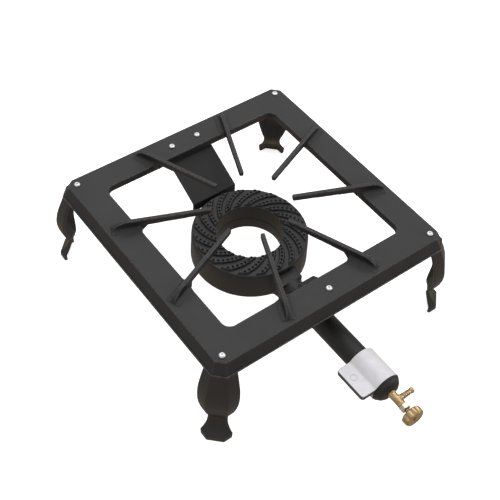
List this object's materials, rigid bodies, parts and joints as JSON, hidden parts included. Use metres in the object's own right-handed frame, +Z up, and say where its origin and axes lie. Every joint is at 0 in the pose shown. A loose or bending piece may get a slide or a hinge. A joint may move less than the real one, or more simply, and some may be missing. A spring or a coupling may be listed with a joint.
{
  "type": "propane burner stand",
  "caption": "Square cast-iron stand on bolted legs with radial pan supports, holding a ring gas burner with a mixing tube, sliding air shutter and a brass needle valve.",
  "frame": {"origin": "centre of the bounding box's base, on the floor; the ring's axis is at x = 0, y = 0.0749", "axes": "+X to the side of the hose barb, +Y from the gas valve to the rear bracket, +Z up"},
  "size_m": [0.4264, 0.5762, 0.1655],
  "materials": {
    "frame_iron": "satin black enamel on a fine sand-cast skin",
    "leg_iron": "satin black enamel on a sand-cast skin",
    "burner_iron": "matt black heat-resistant paint on rough casting",
    "black_steel": "matt black paint on bent steel plate",
    "zinc_steel": "bright zinc plate",
    "aluminium": "satin die-cast aluminium",
    "brass": "machined, slightly dulled",
    "pale_brass": "machined, bright",
    "stainless_steel": "turned",
    "ptfe": "plain"
  },
  "bodies": {
    "stand": {"frame": "frame_iron", "leg_front_left": "leg_iron", "leg_front_right": "leg_iron", "leg_rear_right": "leg_iron", "leg_rear_left": "leg_iron", "leg_screw_front_left": "zinc_steel", "leg_screw_front_right": "zinc_steel", "leg_screw_rear_right": "zinc_steel", "leg_screw_rear_left": "zinc_steel", "leg_nut_front_left": "zinc_steel", "leg_nut_front_right": "zinc_steel", "leg_nut_rear_right": "zinc_steel", "leg_nut_rear_left": "zinc_steel", "burner_casting": "burner_iron", "rear_bracket": "black_steel", "bracket_screw_left": "zinc_steel", "bracket_screw_right": "zinc_steel", "bracket_nut_left": "zinc_steel", "bracket_nut_right": "zinc_steel", "bracket_bolt": "zinc_steel", "front_screw": "zinc_steel", "front_nut": "zinc_steel", "tube_cap": "burner_iron", "valve_body": "brass", "gas_jet": "pale_brass", "hose_barb": "brass", "packing_ring": "ptfe", "gland_nut": "pale_brass"},
    "shutter": {"air_shutter": "aluminium"},
    "spindle": {"valve_spindle": "stainless_steel"},
    "hand_knob": {"knob": "brass", "knob_screw": "brass"}
  },
  "joints": [
    {"name": "shutter_slide", "type": "slide", "parent": "stand", "child": "shutter", "axis": [0, 1, 0], "range_m": [0, 0.04]},
    {"name": "spindle_travel", "type": "slide", "parent": "stand", "child": "spindle", "axis": [0, -1, 0], "range_m": [0, 0.0015]},
    {"name": "knob_turn", "type": "hinge", "parent": "spindle", "child": "hand_knob", "pos_m": [0, -0.2741, 0.0755], "axis": [0, -1, 0], "range_deg": [0, 540]}
  ],
  "couplings": [
    {"joint": "knob_turn", "follows": "spindle_travel", "rad_per_m": 6283.2}
  ]
}
